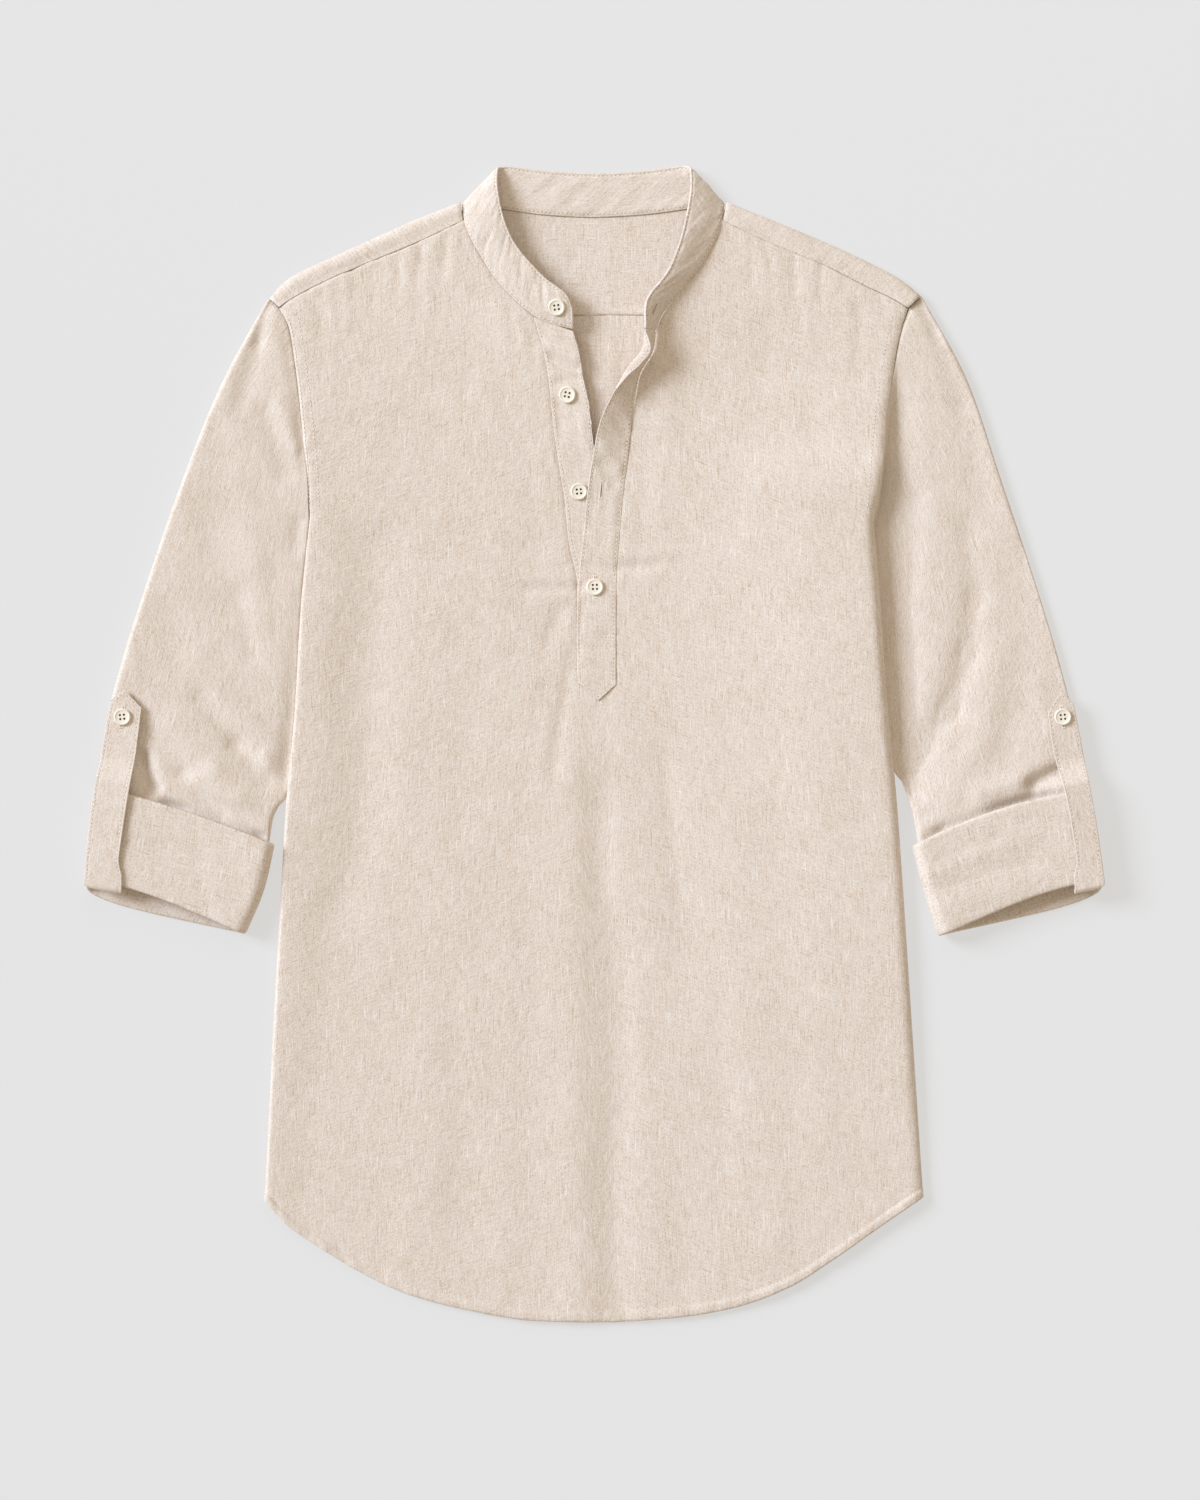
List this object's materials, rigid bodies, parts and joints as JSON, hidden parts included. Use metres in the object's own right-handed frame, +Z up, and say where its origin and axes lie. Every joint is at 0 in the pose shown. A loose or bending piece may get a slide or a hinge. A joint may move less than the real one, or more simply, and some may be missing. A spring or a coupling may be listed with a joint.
{
  "type": "mandarin collar shirt",
  "caption": "Collarless popover shirt with a standing band, a short open button placket, a shirt-tail hem and rolled sleeves held by tabs, laid flat on its back.",
  "frame": {"origin": "centre of the shirt's outline on the surface it lies on", "axes": "+Y from the hem to the collar, +X across the shirt to the wearer's left sleeve, +Z up off the surface, towards the shirt's front"},
  "size_m": [0.7039, 0.8002, 0.0326],
  "materials": {
    "linen": "natural beige slubby linen, plain weave, matt",
    "button": "ivory four-hole button, soft sheen"
  },
  "bodies": {
    "root": {"front": "linen", "back": "linen", "yoke": "linen", "collar_band": "linen", "under_placket": "linen", "top_placket": "linen", "sleeve_left": "linen", "sleeve_right": "linen", "sleeve_roll_left": "linen", "sleeve_roll_right": "linen", "tab_left": "linen", "tab_right": "linen", "band_button": "button", "placket_button_1": "button", "placket_button_2": "button", "placket_button_3": "button", "tab_button_left": "button", "tab_button_right": "button"}
  },
  "joints": []
}
